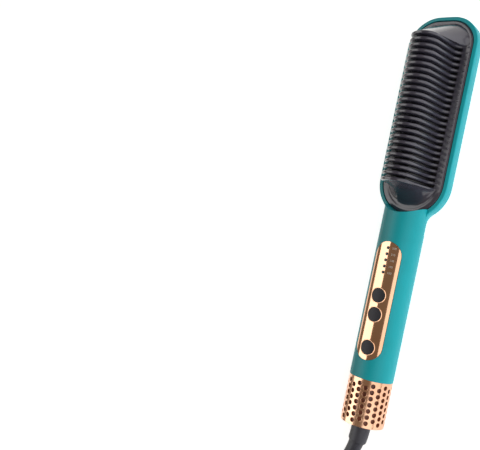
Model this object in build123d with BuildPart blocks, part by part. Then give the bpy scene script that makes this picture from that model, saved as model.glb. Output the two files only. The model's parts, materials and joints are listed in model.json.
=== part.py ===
from build123d import *
import math
import os

os.makedirs("parts", exist_ok=True)

# Frame: +X towards the comb's tip, +Z out of the comb, +Y to the user's left.
# The origin is under the middle of the brush, on the surface that it lies on.

# Overall sizes, in millimetres
overall_length = 277.0
handle_radius = 14.5
back_flat = 0.1
head_half_width = 24.5
head_round_x = 25.2
tip_corner_radius = 20.0
neck_radius = 9.0
back_edge_radius = 7.5
wall = 2.0
seam_height = 11.4
seam_gap = 0.1
rim_height = 14.7
rim_wall = 2.5
rim_round = 1.0
ledge_width = 2.4
ledge_thickness = 1.3
rib_thickness = 1.5
rib_pitch = 44.0
rib_half_width = 12.0

# Comb: fins, end wall, ramps and locating nubs
cover_gap = 0.6
fin_count = 24
fin_pitch = 3.96
first_fin_x = 117.3
fin_thickness = 2.2
fin_rise = 30.5
fin_crown_radius = 10.2
crown_steps = 8
ramp_steps = 4
crown_start = 4.0
fin_lean = 0.8
fin_foot_half = 13.4
fin_foot_round = 2.2
window_half = 15.3
fin_root_lap = 0.5
end_wall_thickness = 2.4
ramp_length = 17.0
ramp_nose_half = 7.0
ramp_nose_radius = 2.5
ramp_nose_rise = 3.2
scoop_radius = 18.9
scoop_floor = 1.5
scoop_reach = 14.0
scoop_steps = 7
nub_y = 19.2
nub_length = 1.5
nub_width = 1.2
nub_rise = 0.7
post_sides = 8
disc_sides = 24
wire_sides = 6

# Heated plate and what is stacked under it
plate_thickness = 2.0
plate_margin = 0.3
blade_thickness = 0.9
blade_drop = 8.0
blade_foot_half = 11.8
blade_crown_radius = 8.2
blade_steps = 4
heater_thickness = 2.0
heater_width = 14.0
heater_length = 88.0
heater_x = 70.0
sheet_thickness = 0.4
sheet_overhang = 1.5
clamp_thickness = 1.2
clamp_width = 18.0
clamp_overhang = 3.0
clamp_bead_radius = 2.0
clamp_bead_depth = 0.5
clamp_bead_pitch = 24.0
clamp_bead_count = 3
carrier_floor = 1.5
carrier_wall = 1.6
carrier_gap = 0.2
carrier_boss_radius = 2.4
carrier_window_width = 10.0
carrier_window_length = 18.0
carrier_window_pitch = 28.0
carrier_window_count = 3
carrier_notch_width = 9.0
plate_screw_radius = 1.3
plate_screw_head_radius = 2.4
plate_screw_head_height = 1.3
plate_screw_depth = 1.2
plate_screw_pitch = 36.0
plate_screw_y = 17.2
screw_gap = 0.1
thermistor_radius = 1.2
thermistor_length = 4.0
thermistor_gap = 4.0
fuse_radius = 1.6
fuse_length = 10.0
fuse_gap = 4.5
fuse_lead_radius = 0.4
fuse_lead_length = 4.0

# Control panel, buttons and lights
panel_front_x = -16.8
panel_length = 78.6
panel_width = 18.1
panel_thickness = 1.8
panel_proud = 0.2
panel_gap = 0.15
panel_seat_width = 1.6
panel_seat_thickness = 1.5
light_count = 5
light_pitch = 4.06
light_inset = 4.2
light_radius = 0.8
light_gap = 0.1
plus_inset = 35.8
button_pitch = 12.7
power_inset = 8.2
button_radius = 4.6
button_gap = 0.2
button_proud = 0.3
button_flange = 0.7
button_flange_drop = 0.25
button_flange_thickness = 1.0
button_travel = 0.6
stem_radius = 1.6
plunger_radius = 1.7
plunger_gap = 0.1
plunger_rise = 1.5
switch_width = 6.0
switch_height = 3.5
switch_bore_depth = 1.5
bore_slack = 0.1

# Circuit board and what it carries
board_top = 4.0
board_thickness = 1.6
board_width = 18.0
board_front_x = -7.0
board_length = 97.2
board_screw_inset = 3.2
board_boss_radius = 2.5
board_boss_root = 0.8
board_screw_radius = 1.2
board_screw_head_radius = 2.2
board_screw_head_height = 1.3
board_screw_depth = 4.5
led_width = 1.6
led_height = 0.7
pipe_bar_height = 1.6
pipe_bar_width = 3.0
pipe_bar_top = 9.5
pipe_leg_thickness = 1.2
pipe_end_margin = 3.2
capacitor_length = 12.0
capacitor_width = 7.0
capacitor_height = 9.0
capacitor_inset = 31.0
triac_length = 10.0
triac_width = 4.5
triac_height = 9.0
triac_inset = 32.2
terminal_length = 8.0
terminal_width = 10.0
terminal_height = 7.0
terminal_inset = 12.2
moulding_chamfer = 0.6
lead_radius = 0.8
lead_spacing = 5.0
lead_inset = 1.0
lead_bend = 3.0
lead_jog = 5.0

# Tail: perforated collar, its core and the cord swivel
collar_length = 30.8
collar_radius = 14.4
collar_wall = 1.2
collar_gap = 0.1
core_wall = 1.6
core_spigot = 3.2
core_spigot_gap = 0.15
hole_rows = 7
hole_pitch = 4.06
hole_radius = 1.2
hole_sides = 6
collar_sides = 20
tail_web = 2.0
housing_radius = 9.0
housing_length = 24.0
housing_bearing = 17.2
sleeve_radius = 5.6
boot_gap = 0.3
sleeve_flange_radius = 7.4
sleeve_flange_width = 2.0
running_gap = 0.05
flange_gap = 0.3
cap_thickness = 1.6
cap_gap = 0.3
nose_radius = 3.6
nose_overhang = 0.9
ring_thickness = 0.9
ring_step = 0.7
ring_width = 1.2
ring_spacing = 2.6
ring_inset = 0.3
ring_seat_gap = 0.03
wiper_gap = 0.1
wiper_thickness = 0.5
wiper_width = 1.8
wiper_slack = 0.3
wiper_overhang = 1.4

# Cord: its boot, the free stretch, the tied hank and the plug
cord_diameter = 6.2
boot_root_radius = 6.4
boot_step_radius = 6.1
boot_neck_radius = 5.1
boot_end_radius = 4.0
boot_root_length = 12.5
boot_length = 30.3
boot_sides = 14
boot_bend = 75.0
boot_side = 0.86
boot_down = 0.51
cord_first_run = 13.0
cord_last_run = 16.5
hank_near_x = -216.5
hank_run = 124.0
hank_centre_y = -6.0
hank_outer_y = 24.35
hank_inner_y = 17.35
hank_return_y = -20.85
hank_base = 0.6
hank_step = 6.75
hank_waist = 6.0
hank_samples = 900
cord_sides = 5
tie_width = 9.0
tie_thickness = 0.5
tie_gap = 0.4
tie_round = 3.0
plug_length = 37.0
plug_width = 35.0
plug_height = 13.7
plug_grip_width = 18.0
plug_grip_height = 12.0
plug_grip_length = 13.0
plug_shoulder = 24.0
plug_chamfer = 4.0
plug_x = -292.0
plug_rise = 0.3
lead_first_run = 20.0
lead_last_run = 21.5
pin_radius = 2.0
pin_length = 19.0
pin_spacing = 19.0
pin_tip = 0.8

# Stations worked out from the sizes above
tip_x = overall_length / 2
tail_x = -overall_length / 2
axis_z = handle_radius - back_flat
shell_tail_x = tail_x + collar_length
pocket_inset = rim_wall
cover_inset = pocket_inset + cover_gap
ledge_inset = rim_wall + ledge_width
plate_inset = ledge_inset + plate_margin
carrier_inset = plate_inset + carrier_gap
ledge_top = seam_height + ledge_thickness
plate_bottom = ledge_top - plate_thickness
heater_bottom = plate_bottom - heater_thickness
sheet_bottom = heater_bottom - sheet_thickness
clamp_bottom = sheet_bottom - clamp_thickness
carrier_bottom = clamp_bottom - carrier_floor
pocket_end_x = head_round_x - (head_half_width - pocket_inset)
cavity_end_x = pocket_end_x - wall
neck_start_x = head_round_x - head_half_width - neck_radius
cavity_radius = handle_radius - wall
panel_outer_radius = handle_radius + panel_proud
panel_inner_radius = panel_outer_radius - panel_thickness
panel_x = panel_front_x - panel_length / 2
first_light_x = panel_front_x - light_inset
plus_x = panel_front_x - plus_inset
minus_x = plus_x - button_pitch
power_x = panel_front_x - panel_length + power_inset
seat_inner_radius = panel_inner_radius - panel_seat_thickness
clear_height = 4 * handle_radius
board_z = axis_z + board_top
board_bottom = board_z - board_thickness
board_back_x = board_front_x - board_length
capacitor_x = board_front_x - capacitor_inset
triac_x = board_back_x + triac_inset
terminal_x = board_back_x + terminal_inset
board_screw_stations = [board_front_x - board_screw_inset, board_back_x + board_screw_inset]
switch_top = board_z + switch_height
button_stations = {"plus": plus_x, "minus": minus_x, "power": power_x}
flange_radius = button_radius + button_flange
flange_top = axis_z + math.sqrt(panel_inner_radius**2 - flange_radius**2) - button_flange_drop
plunger_top = switch_top + plunger_rise
light_stations = [first_light_x - light_pitch * step for step in range(light_count)]
fin_stations = [first_fin_x - fin_pitch * step for step in range(fin_count)]
blade_stations = [fin_x - fin_pitch / 2 for fin_x in fin_stations]
end_wall_x = fin_stations[-1] - fin_pitch + fin_thickness / 2
window_front_x = first_fin_x + fin_thickness / 2
heater_end_x = heater_x - heater_length / 2
thermistor_x = heater_end_x - thermistor_gap
fuse_x = heater_x + heater_length / 2 + fuse_gap
lead_y = lead_spacing / 2
cord_radius = cord_diameter / 2
screw_spots = [
    (heater_x + plate_screw_pitch * step, side * plate_screw_y) for step in (-1, 0, 1) for side in (-1, 1)
]


def handle_half(height, radius):
    """Half width of a round handle at one height."""
    return math.sqrt(radius**2 - (axis_z - height) ** 2)


def edge_inset(distance, radius):
    """How far a rounded edge has pulled in at one distance from its end."""
    depth = max(0.0, radius - distance)
    return radius - math.sqrt(radius**2 - depth**2)


def casing_layer(height, shrink=0.0):
    """Sketch the head's plan at one height, with the swept neck and the start of the handle."""
    half = handle_half(height, handle_radius - shrink)
    inset = shrink + edge_inset(height - shrink, back_edge_radius - shrink)
    inset += edge_inset(rim_height - height, rim_round)
    head = head_half_width - inset
    corner = tip_corner_radius - inset
    nose = tip_x - inset
    sweep_radius = neck_radius + shrink
    neck_x = head_round_x - math.sqrt((head + sweep_radius) ** 2 - (half + sweep_radius) ** 2)
    turn = math.degrees(math.atan2(half + sweep_radius, head_round_x - neck_x))
    with BuildSketch(Plane.XY.offset(height)) as layer:
        with BuildLine():
            Line((neck_start_x, half), (neck_x, half))
            CenterArc((neck_x, half + sweep_radius), sweep_radius, 270, 90 - turn)
            CenterArc((head_round_x, 0), head, 180 - turn, turn - 90)
            Line((head_round_x, head), (nose - corner, head))
            CenterArc((nose - corner, head - corner), corner, 90, -90)
            mirror(about=Plane.XZ)
            Line((nose, head - corner), (nose, corner - head))
            Line((neck_start_x, half), (neck_start_x, -half))
        make_face()
    return layer.sketch


def head_plan(height, inset):
    """Sketch the comb's plan, drawn in from the head's edge: rounded tip, half round end."""
    head = head_half_width - inset
    corner = tip_corner_radius - inset
    nose = tip_x - inset
    with BuildSketch(Plane.XY.offset(height)) as plan:
        with BuildLine():
            CenterArc((head_round_x, 0), head, 90, 180)
            Line((head_round_x, -head), (nose - corner, -head))
            CenterArc((nose - corner, corner - head), corner, -90, 90)
            Line((nose, corner - head), (nose, head - corner))
            CenterArc((nose - corner, head - corner), corner, 0, 90)
            Line((nose - corner, head), (head_round_x, head))
        make_face()
    return plan.sketch


def head_slab(start, end, inset, mode=Mode.ADD):
    """Extrude the comb's plan between two heights."""
    extrude(head_plan(start, inset), amount=end - start, mode=mode)


def bar(start_x, end_x, radius, mode=Mode.ADD):
    """Extrude a round bar along the handle's axis."""
    with BuildSketch(Plane.YZ.offset(start_x)) as section:
        with Locations((0, axis_z)):
            Circle(radius)
    extrude(section.sketch, amount=end_x - start_x, mode=mode)


def handle_band(start_x, end_x, radius, low, high, mode=Mode.ADD):
    """Extrude the part of a round bar on the handle's axis that lies between two heights."""
    with BuildSketch(Plane.YZ.offset(start_x)) as section:
        with Locations((0, axis_z)):
            Circle(radius)
        with Locations((0, low)):
            Rectangle(2 * radius, high - low, align=(Align.CENTER, Align.MIN), mode=Mode.INTERSECT)
    extrude(section.sketch, amount=end_x - start_x, mode=mode)


def panel_prism(margin, mode=Mode.ADD):
    """Extrude the control panel's rounded plan upwards from the handle's axis."""
    end_radius = panel_width / 2 + margin
    straight = panel_length - panel_width
    with BuildSketch(Plane.XY.offset(axis_z)) as plan:
        with Locations((panel_x, 0)):
            Rectangle(straight, 2 * end_radius)
        with Locations((panel_x - straight / 2, 0), (panel_x + straight / 2, 0)):
            RegularPolygon(end_radius, disc_sides)
    extrude(plan.sketch, amount=clear_height, mode=mode)


def posts(spots, start, end, radius, mode=Mode.ADD):
    """Extrude small many-sided posts or holes between two heights."""
    with BuildSketch(Plane.XY.offset(start)) as plan:
        with Locations(*spots):
            RegularPolygon(radius, post_sides)
    extrude(plan.sketch, amount=end - start, mode=mode)


def discs(spots, start, end, radius, mode=Mode.ADD):
    """Extrude finely faceted discs or holes between two heights."""
    with BuildSketch(Plane.XY.offset(start)) as plan:
        with Locations(*spots):
            RegularPolygon(radius, disc_sides)
    extrude(plan.sketch, amount=end - start, mode=mode)


def blocks(spots, start, end, length, width, mode=Mode.ADD):
    """Extrude rectangular blocks or openings between two heights."""
    with BuildSketch(Plane.XY.offset(start)) as plan:
        with Locations(*spots):
            Rectangle(length, width)
    extrude(plan.sketch, amount=end - start, mode=mode)


def wire(points, bend, radius):
    """Sweep a round wire along straight runs joined by arcs."""
    with BuildLine() as route:
        FilletPolyline(*points, radius=bend)
    with BuildSketch(Plane(origin=route.line @ 0, z_dir=route.line % 0)) as section:
        RegularPolygon(radius, wire_sides)
    sweep(section.sketch, path=route.line)


# Back shell: the handle's lower half, the swept neck and the head's rounded tray,
# with low ribs that carry the comb's tray
back_top = seam_height - seam_gap
back_steps = [0.0, 0.07, 0.25, 0.55, 1.0]
with BuildPart() as back_shell:
    loft([casing_layer(step * back_top) for step in back_steps], ruled=True)
    handle_band(shell_tail_x, neck_start_x, handle_radius, 0, back_top)
    loft(
        [casing_layer(wall + step * (seam_height - wall), wall) for step in back_steps],
        ruled=True,
        mode=Mode.SUBTRACT,
    )
    handle_band(shell_tail_x, neck_start_x, cavity_radius, wall, seam_height, Mode.SUBTRACT)
    blocks(
        [(heater_x + rib_pitch * step, 0) for step in (-1, 0, 1)],
        wall,
        carrier_bottom,
        rib_thickness,
        2 * rib_half_width,
    )
back_shell.part.label = "back_shell"
export_step(back_shell.part, "parts/back_shell.step")

# Room inside the handle, left fuller under the control panel's seat
with BuildPart() as handle_room:
    handle_band(shell_tail_x, cavity_end_x, cavity_radius, seam_height, clear_height)
    panel_prism(panel_gap + wall, Mode.SUBTRACT)
    handle_band(shell_tail_x, cavity_end_x, seat_inner_radius, seam_height, clear_height)

# Recess that the control panel lies in
with BuildPart() as panel_recess:
    panel_prism(panel_gap)
    bar(shell_tail_x, cavity_end_x, panel_inner_radius, Mode.SUBTRACT)

# Front shell: the handle's upper half, the rim round the comb and the ledge under it
rim_steps = [0.0, 0.7, 0.9, 1.0]
with BuildPart() as front_shell:
    loft(
        [casing_layer(seam_height + step * (rim_height - seam_height)) for step in rim_steps],
        ruled=True,
    )
    handle_band(shell_tail_x, neck_start_x, handle_radius, seam_height, clear_height)
    handle_band(neck_start_x, head_round_x, handle_radius, rim_height, clear_height)
    head_slab(ledge_top, clear_height, pocket_inset, Mode.SUBTRACT)
    head_slab(seam_height, ledge_top, ledge_inset, Mode.SUBTRACT)
    add(handle_room.part, mode=Mode.SUBTRACT)
    add(panel_recess.part, mode=Mode.SUBTRACT)
    panel_prism(-panel_seat_width, Mode.SUBTRACT)
    posts(
        [(x, 0) for x in board_screw_stations],
        board_z,
        axis_z + cavity_radius + board_boss_root,
        board_boss_radius,
    )
    posts(
        [(x, 0) for x in board_screw_stations],
        board_z,
        board_z + board_screw_depth + screw_gap,
        board_screw_radius + screw_gap,
        Mode.SUBTRACT,
    )
front_shell.part.label = "front_shell"
export_step(front_shell.part, "parts/front_shell.step")


def crown_points(radius, top, steps=crown_steps):
    """Points round an arch's crown, from its right flank over the top to its left flank."""
    points = []
    for step in range(steps + 1):
        angle = math.radians(crown_start + (180 - 2 * crown_start) * step / steps)
        points.append((fin_lean + radius * math.cos(angle), top - radius + radius * math.sin(angle)))
    return points


def arch(x, foot_half, foot_z, crown_radius, crown_top, steps=crown_steps):
    """Sketch an arch across the comb: a round crown on two flanks that lean out to the foot."""
    with BuildSketch(Plane.YZ.offset(x)) as outline:
        with BuildLine():
            Polyline(
                (foot_half, foot_z),
                *crown_points(crown_radius, crown_top, steps),
                (-foot_half, foot_z),
                close=True,
            )
        make_face()
    return outline.sketch


def fin_outline(x):
    """Sketch one fin: the arch on its foot, flared where it meets the border."""
    foot = window_half + fin_root_lap
    flare = min(fin_foot_round, foot - fin_foot_half)
    with BuildSketch(Plane.YZ.offset(x)) as outline:
        with BuildLine():
            Polyline(
                (foot, ledge_top),
                (foot, rim_height),
                (fin_foot_half, rim_height + flare),
                *crown_points(fin_crown_radius, rim_height + fin_rise),
                (-fin_foot_half, rim_height + flare),
                (-foot, rim_height),
                (-foot, ledge_top),
                close=True,
            )
        make_face()
    return outline.sketch


# Scooped end behind the last fin, down to the handle
with BuildPart() as scoop:
    extrude(
        arch(end_wall_x, fin_foot_half, ledge_top, fin_crown_radius, rim_height + fin_rise),
        amount=-2 * scoop_reach,
    )
    discs([(head_round_x, 0)], ledge_top, clear_height, scoop_radius, Mode.INTERSECT)
    scoop_x = end_wall_x - end_wall_thickness - scoop_reach
    hollow_curve = []
    for step in range(scoop_steps + 1):
        angle = math.pi / 2 * step / scoop_steps
        hollow_curve.append(
            (
                scoop_x + scoop_reach * math.cos(angle),
                rim_height + fin_rise - (fin_rise - scoop_floor) * math.sin(angle),
            )
        )
    with BuildSketch(Plane.XZ) as hollow:
        with BuildLine():
            Polyline(
                *hollow_curve,
                (scoop_x - scoop_radius, rim_height + scoop_floor),
                (scoop_x - scoop_radius, clear_height),
                (scoop_x + scoop_reach, clear_height),
                close=True,
            )
        make_face()
    extrude(amount=clear_height, both=True, mode=Mode.SUBTRACT)

# Comb cover: border, arched fins, locating nubs, tip ramp and scooped end
with BuildPart() as comb_cover:
    head_slab(ledge_top, rim_height, cover_inset)
    window_length = window_front_x - end_wall_x
    blocks(
        [(end_wall_x + window_length / 2, 0)],
        ledge_top,
        rim_height,
        window_length,
        2 * window_half,
        Mode.SUBTRACT,
    )
    for fin_x in fin_stations:
        extrude(fin_outline(fin_x - fin_thickness / 2), amount=fin_thickness)
    loft(
        [
            arch(
                window_front_x,
                fin_foot_half,
                ledge_top,
                fin_crown_radius,
                rim_height + fin_rise,
                ramp_steps,
            ),
            arch(
                window_front_x + ramp_length,
                ramp_nose_half,
                ledge_top,
                ramp_nose_radius,
                rim_height + ramp_nose_rise,
                ramp_steps,
            ),
        ],
        ruled=True,
    )
    add(scoop.part)
    blocks(
        [(x, side * nub_y) for x in fin_stations for side in (-1, 1)],
        rim_height,
        rim_height + nub_rise,
        nub_length,
        nub_width,
    )
    posts(
        screw_spots,
        ledge_top,
        ledge_top + plate_screw_depth + screw_gap,
        plate_screw_radius + screw_gap,
        Mode.SUBTRACT,
    )
comb_cover.part.label = "comb_cover"
export_step(comb_cover.part, "parts/comb_cover.step")

# Heating plate with a low blade in each gap of the comb
blade_root = ledge_top - plate_thickness / 2
blade_top = rim_height + fin_rise - blade_drop
with BuildPart() as heating_plate:
    head_slab(plate_bottom, ledge_top, plate_inset)
    for blade_x in blade_stations:
        extrude(
            arch(
                blade_x - blade_thickness / 2,
                blade_foot_half,
                blade_root,
                blade_crown_radius,
                blade_top,
                blade_steps,
            ),
            amount=blade_thickness,
        )
    posts(screw_spots, plate_bottom, ledge_top, plate_screw_radius + screw_gap, Mode.SUBTRACT)
heating_plate.part.label = "heating_plate"
export_step(heating_plate.part, "parts/heating_plate.step")

# Flat ceramic heater pressed against the plate
with BuildPart() as heater_strip:
    blocks([(heater_x, 0)], heater_bottom, plate_bottom, heater_length, heater_width)
heater_strip.part.label = "heater_strip"
export_step(heater_strip.part, "parts/heater_strip.step")

# Insulating sheet under the heater
with BuildPart() as insulation_sheet:
    blocks(
        [(heater_x, 0)],
        sheet_bottom,
        heater_bottom,
        heater_length + 2 * sheet_overhang,
        heater_width + 2 * sheet_overhang,
    )
insulation_sheet.part.label = "insulation_sheet"
export_step(insulation_sheet.part, "parts/insulation_sheet.step")

# Clamp that holds the heater up, with pressed dimples
bead_spots = [
    (heater_x + clamp_bead_pitch * (step - (clamp_bead_count - 1) / 2), 0) for step in range(clamp_bead_count)
]
with BuildPart() as heater_clamp:
    blocks([(heater_x, 0)], clamp_bottom, sheet_bottom, heater_length + 2 * clamp_overhang, clamp_width)
    chamfer(heater_clamp.edges().filter_by(Axis.Z), clamp_bead_radius)
    posts(bead_spots, sheet_bottom - clamp_bead_depth, sheet_bottom, clamp_bead_radius, Mode.SUBTRACT)
heater_clamp.part.label = "heater_clamp"
export_step(heater_clamp.part, "parts/heater_clamp.step")

# Carrier tray under the clamp, screwed up into the cover through the plate
carrier_tail_x = head_round_x - (head_half_width - carrier_inset)
with BuildPart() as plate_carrier:
    head_slab(carrier_bottom, plate_bottom, carrier_inset)
    head_slab(clamp_bottom, plate_bottom, carrier_inset + carrier_wall, Mode.SUBTRACT)
    posts(screw_spots, carrier_bottom, plate_bottom, carrier_boss_radius)
    head_slab(carrier_bottom, plate_bottom, carrier_inset, Mode.INTERSECT)
    posts(screw_spots, carrier_bottom, plate_bottom, plate_screw_radius + screw_gap, Mode.SUBTRACT)
    blocks(
        [
            (heater_x + carrier_window_pitch * (step - (carrier_window_count - 1) / 2), 0)
            for step in range(carrier_window_count)
        ],
        carrier_bottom,
        clamp_bottom,
        carrier_window_length,
        carrier_window_width,
        Mode.SUBTRACT,
    )
    blocks(
        [(carrier_tail_x, 0)],
        clamp_bottom,
        plate_bottom,
        carrier_notch_width,
        carrier_notch_width,
        Mode.SUBTRACT,
    )
plate_carrier.part.label = "plate_carrier"
export_step(plate_carrier.part, "parts/plate_carrier.step")

# Screws that draw the carrier and the plate up against the cover
with BuildPart() as plate_screws:
    posts(
        screw_spots,
        carrier_bottom - plate_screw_head_height,
        carrier_bottom,
        plate_screw_head_radius,
    )
    posts(screw_spots, carrier_bottom, ledge_top + plate_screw_depth, plate_screw_radius)
plate_screws.part.label = "plate_screws"
export_step(plate_screws.part, "parts/plate_screws.step")

# Thermal fuse against the plate, beyond the heater's end
with BuildPart() as thermal_fuse:
    with BuildSketch(Plane.XZ.offset(-fuse_length / 2)):
        with Locations((fuse_x, plate_bottom - fuse_radius)):
            RegularPolygon(fuse_radius, post_sides, major_radius=False, rotation=180 / post_sides)
    extrude(amount=fuse_length)
    with BuildSketch(Plane.XZ.offset(-fuse_length / 2 - fuse_lead_length)):
        with Locations((fuse_x, plate_bottom - fuse_radius)):
            RegularPolygon(fuse_lead_radius, post_sides)
    extrude(amount=fuse_length + 2 * fuse_lead_length)
thermal_fuse.part.label = "thermal_fuse"
export_step(thermal_fuse.part, "parts/thermal_fuse.step")

# Temperature sensor against the plate, in front of the heater
with BuildPart() as thermistor:
    with BuildSketch(Plane.YZ.offset(thermistor_x - thermistor_length / 2)):
        with Locations((0, plate_bottom - thermistor_radius)):
            RegularPolygon(thermistor_radius, post_sides, major_radius=False, rotation=180 / post_sides)
    extrude(amount=thermistor_length)
thermistor.part.label = "thermistor"
export_step(thermistor.part, "parts/thermistor.step")

# Heater leads from the board's underside to the heater's end
heater_lead_z = heater_bottom + heater_thickness / 2
with BuildPart() as heater_leads:
    for side in (-1, 1):
        wire(
            [
                (board_front_x - lead_inset, side * lead_y, board_bottom),
                (board_front_x - lead_inset, side * lead_y, heater_lead_z),
                (heater_end_x, side * lead_y, heater_lead_z),
            ],
            lead_bend,
            lead_radius,
        )
heater_leads.part.label = "heater_leads"
export_step(heater_leads.part, "parts/heater_leads.step")

# Control panel: a curved trim with holes for the buttons and the lights
with BuildPart() as control_panel:
    panel_prism(0)
    bar(shell_tail_x, cavity_end_x, panel_outer_radius, Mode.INTERSECT)
    bar(shell_tail_x, cavity_end_x, panel_inner_radius, Mode.SUBTRACT)
    posts([(x, 0) for x in light_stations], axis_z, clear_height, light_radius, Mode.SUBTRACT)
    discs(
        [(x, 0) for x in button_stations.values()],
        axis_z,
        clear_height,
        button_radius + button_gap,
        Mode.SUBTRACT,
    )
control_panel.part.label = "control_panel"
export_step(control_panel.part, "parts/control_panel.step")

# Buttons with a retaining flange and a stem, and the switch plungers that they press
for key, key_x in button_stations.items():
    with BuildPart() as button:
        discs([(key_x, 0)], flange_top, clear_height, button_radius)
        bar(shell_tail_x, cavity_end_x, panel_outer_radius + button_proud, Mode.INTERSECT)
        discs([(key_x, 0)], flange_top - button_flange_thickness, flange_top, flange_radius)
        posts([(key_x, 0)], plunger_top, flange_top, stem_radius)
    button.part.label = f"{key}_button"
    export_step(button.part, f"parts/{key}_button.step")
    with BuildPart() as plunger:
        plunger_bottom = switch_top - switch_bore_depth + button_travel + bore_slack
        posts([(key_x, 0)], plunger_bottom, plunger_top, plunger_radius)
    plunger.part.label = f"{key}_plunger"
    export_step(plunger.part, f"parts/{key}_plunger.step")

# Tact switches on the board, one under each button
with BuildPart() as tact_switches:
    key_spots = [(x, 0) for x in button_stations.values()]
    blocks(key_spots, board_z, switch_top, switch_width, switch_width)
    posts(
        key_spots,
        switch_top - switch_bore_depth,
        switch_top,
        plunger_radius + plunger_gap,
        Mode.SUBTRACT,
    )
tact_switches.part.label = "tact_switches"
export_step(tact_switches.part, "parts/tact_switches.step")

# Circuit board, screwed up against two bosses
board_x = board_front_x - board_length / 2
with BuildPart() as main_board:
    blocks([(board_x, 0)], board_bottom, board_z, board_length, board_width)
    posts(
        [(x, 0) for x in board_screw_stations],
        board_bottom,
        board_z,
        board_screw_radius + screw_gap,
        Mode.SUBTRACT,
    )
main_board.part.label = "main_board"
export_step(main_board.part, "parts/main_board.step")

# Screws that hold the board, driven from below
with BuildPart() as board_screws:
    screw_line = [(x, 0) for x in board_screw_stations]
    posts(
        screw_line,
        board_bottom - board_screw_head_height,
        board_bottom,
        board_screw_head_radius,
    )
    posts(screw_line, board_bottom, board_z + board_screw_depth, board_screw_radius)
board_screws.part.label = "board_screws"
export_step(board_screws.part, "parts/board_screws.step")

# Indicator lights on the board
with BuildPart() as indicator_leds:
    blocks([(x, 0) for x in light_stations], board_z, board_z + led_height, led_width, led_width)
indicator_leds.part.label = "indicator_leds"
export_step(indicator_leds.part, "parts/indicator_leds.step")

# Light pipe: a bar on two legs, with a prong up to each hole in the panel
pipe_length = light_pitch * (light_count - 1) + 2 * pipe_end_margin
pipe_x = (light_stations[0] + light_stations[-1]) / 2
leg_offset = (pipe_length - pipe_leg_thickness) / 2
with BuildPart() as light_pipe:
    pipe_top = axis_z + pipe_bar_top
    blocks([(pipe_x, 0)], pipe_top - pipe_bar_height, pipe_top, pipe_length, pipe_bar_width)
    blocks(
        [(pipe_x - leg_offset, 0), (pipe_x + leg_offset, 0)],
        board_z,
        pipe_top,
        pipe_leg_thickness,
        pipe_bar_width,
    )
    posts(
        [(x, 0) for x in light_stations],
        pipe_top,
        axis_z + panel_outer_radius,
        light_radius - light_gap,
    )
light_pipe.part.label = "light_pipe"
export_step(light_pipe.part, "parts/light_pipe.step")

# Box capacitor under the board
with BuildPart() as filter_capacitor:
    blocks(
        [(capacitor_x, 0)],
        board_bottom - capacitor_height,
        board_bottom,
        capacitor_length,
        capacitor_width,
    )
    chamfer(filter_capacitor.edges().filter_by(Axis.Z), moulding_chamfer)
filter_capacitor.part.label = "filter_capacitor"
export_step(filter_capacitor.part, "parts/filter_capacitor.step")

# Power switch of the heater, under the board
with BuildPart() as triac:
    blocks([(triac_x, 0)], board_bottom - triac_height, board_bottom, triac_length, triac_width)
    chamfer(triac.edges().filter_by(Axis.Z), moulding_chamfer)
triac.part.label = "triac"
export_step(triac.part, "parts/triac.step")

# Terminal block for the mains leads, under the board
with BuildPart() as terminal_block:
    blocks(
        [(terminal_x, 0)],
        board_bottom - terminal_height,
        board_bottom,
        terminal_length,
        terminal_width,
    )
    chamfer(terminal_block.edges().filter_by(Axis.Z), moulding_chamfer)
terminal_block.part.label = "terminal_block"
export_step(terminal_block.part, "parts/terminal_block.step")

# Perforated metal collar round the tail, with a row of holes along each of its narrow flats
collar_bore = collar_radius - collar_wall
column_turn = 360 / collar_sides
with BuildPart() as tail_collar:
    with BuildSketch(Plane.YZ.offset(tail_x)):
        with Locations((0, axis_z)):
            RegularPolygon(collar_radius, collar_sides, rotation=column_turn / 2)
            RegularPolygon(collar_bore, collar_sides, rotation=column_turn / 2, mode=Mode.SUBTRACT)
    extrude(amount=collar_length)
    for column in range(collar_sides):
        angle = math.radians(column_turn * column)
        odd = column % 2
        flat = Plane(
            origin=(tail_x + collar_length / 2, 0, axis_z),
            x_dir=(1, 0, 0),
            z_dir=(0, math.sin(angle), math.cos(angle)),
        )
        with BuildSketch(flat.offset(collar_bore - collar_wall)):
            with GridLocations(hole_pitch, 1, hole_rows - odd, 1):
                RegularPolygon(hole_radius, hole_sides)
        extrude(amount=3 * collar_wall, mode=Mode.SUBTRACT)
tail_collar.part.label = "tail_collar"
export_step(tail_collar.part, "parts/tail_collar.step")

# Core inside the collar: a spigot into the shells and a web round the swivel
core_radius = collar_bore - collar_gap
core_bore = core_radius - core_wall
core_back_x = tail_x + boot_gap


def core_bar(start_x, end_x, radius, mode=Mode.ADD):
    """Extrude a bar with the collar's count of flats along the handle's axis."""
    with BuildSketch(Plane.YZ.offset(start_x)) as section:
        with Locations((0, axis_z)):
            RegularPolygon(radius, collar_sides, rotation=column_turn / 2)
    extrude(section.sketch, amount=end_x - start_x, mode=mode)


with BuildPart() as collar_core:
    core_bar(shell_tail_x, core_back_x, core_radius)
    core_bar(shell_tail_x, shell_tail_x + core_spigot, cavity_radius - core_spigot_gap)
    blocks(
        [(shell_tail_x + core_spigot / 2, 0)],
        0,
        wall + core_spigot_gap,
        core_spigot,
        2 * core_radius,
        Mode.SUBTRACT,
    )
    core_bar(shell_tail_x + core_spigot, core_back_x + tail_web, core_bore, Mode.SUBTRACT)
    bar(core_back_x, core_back_x + tail_web, housing_radius, Mode.SUBTRACT)
collar_core.part.label = "collar_core"
export_step(collar_core.part, "parts/collar_core.step")

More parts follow.
